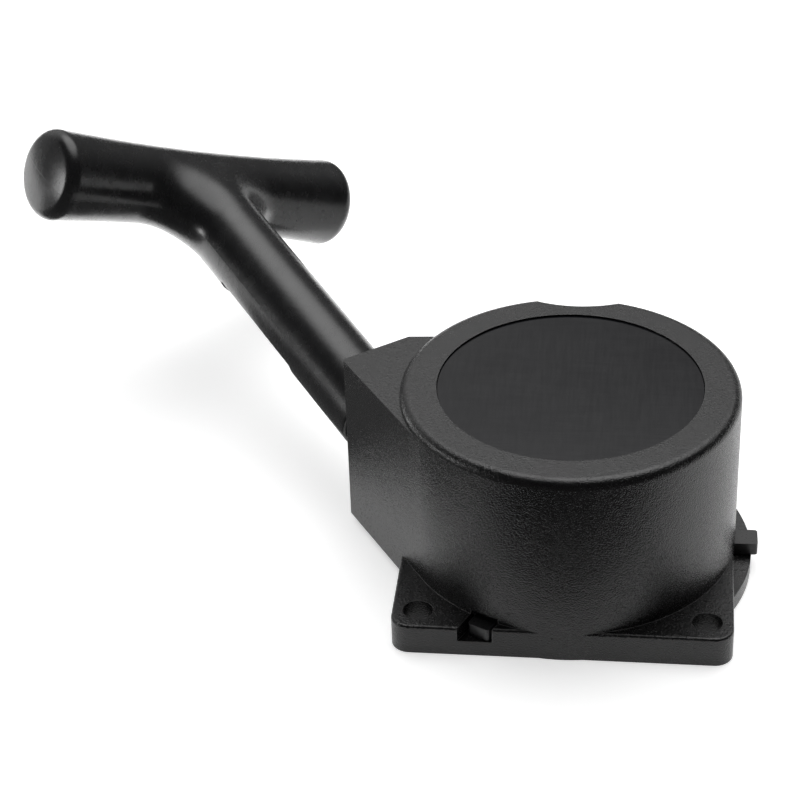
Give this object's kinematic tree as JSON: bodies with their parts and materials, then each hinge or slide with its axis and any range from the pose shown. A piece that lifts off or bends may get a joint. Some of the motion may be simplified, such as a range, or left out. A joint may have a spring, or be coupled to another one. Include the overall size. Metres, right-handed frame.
{
  "type": "recoil starter",
  "caption": "Pull starter for a small model engine: round cup on a square flange, cord outlet horn and T-shaped pull handle.",
  "frame": {"origin": "centre of the flange's mounting face, on the reel's axis", "axes": "+Z along the reel's axis towards the closed top of the cup; +X and +Y along the flange's sides, the retainer's single outer ledge is on +X and the cord leaves towards -X +Y"},
  "size_m": [0.0875, 0.0797, 0.0344],
  "materials": {
    "housing_nylon": "satin, spark-eroded grain",
    "handle_plastic": "smooth semi-gloss",
    "label_black": "plain matt disc",
    "reel_nylon": "moulded satin",
    "cage_plastic": "natural moulded",
    "cord_black": "braided cord",
    "eyelet_brass": "turned",
    "zinc_steel": "zinc plated",
    "spring_steel": "blued",
    "clutch_steel": "ground"
  },
  "bodies": {
    "housing": {"housing": "housing_nylon", "label_disc": "label_black", "cord_eyelet": "eyelet_brass", "retainer_plate": "housing_nylon", "post_sleeve": "eyelet_brass", "reel_screw": "zinc_steel", "reel_washer": "zinc_steel", "spring_shim": "spring_steel", "recoil_spring": "spring_steel", "spring_anchor_pin": "zinc_steel", "cord_run": "cord_black"},
    "reel": {"reel": "reel_nylon", "clutch_sleeve": "clutch_steel", "clutch_cage": "cage_plastic", "clutch_rollers": "clutch_steel", "clutch_leaf_springs": "spring_steel", "clutch_end_rings": "clutch_steel", "cord_windings": "cord_black", "reel_knot": "cord_black"},
    "cord": {"cord_lead": "cord_black", "handle_knot": "cord_black", "handle_washer": "zinc_steel"},
    "handle": {"handle": "handle_plastic", "handle_ferrule": "zinc_steel", "handle_cap": "handle_plastic"}
  },
  "joints": [
    {"name": "handle_pull", "type": "slide", "parent": "housing", "child": "cord", "axis": [-0.5943, 0.7773, 0.2062], "range_m": [0, 0.35], "stiffness_N_per_m": 8, "springref_m": -0.05},
    {"name": "handle_twist", "type": "hinge", "parent": "cord", "child": "handle", "pos_m": [-0.02178, 0.00903, 0.01154], "axis": [-0.5943, 0.7773, 0.2062], "range_deg": [-180, 180]},
    {"name": "reel_spin", "type": "hinge", "parent": "housing", "child": "reel", "pos_m": [0, 0, 0.0106], "axis": [0, 0, -1], "range_deg": [0, 2025], "deforming": ["recoil_spring"]}
  ],
  "couplings": [
    {"joint": "reel_spin", "follows": "handle_pull", "rad_per_m": 100.76}
  ]
}
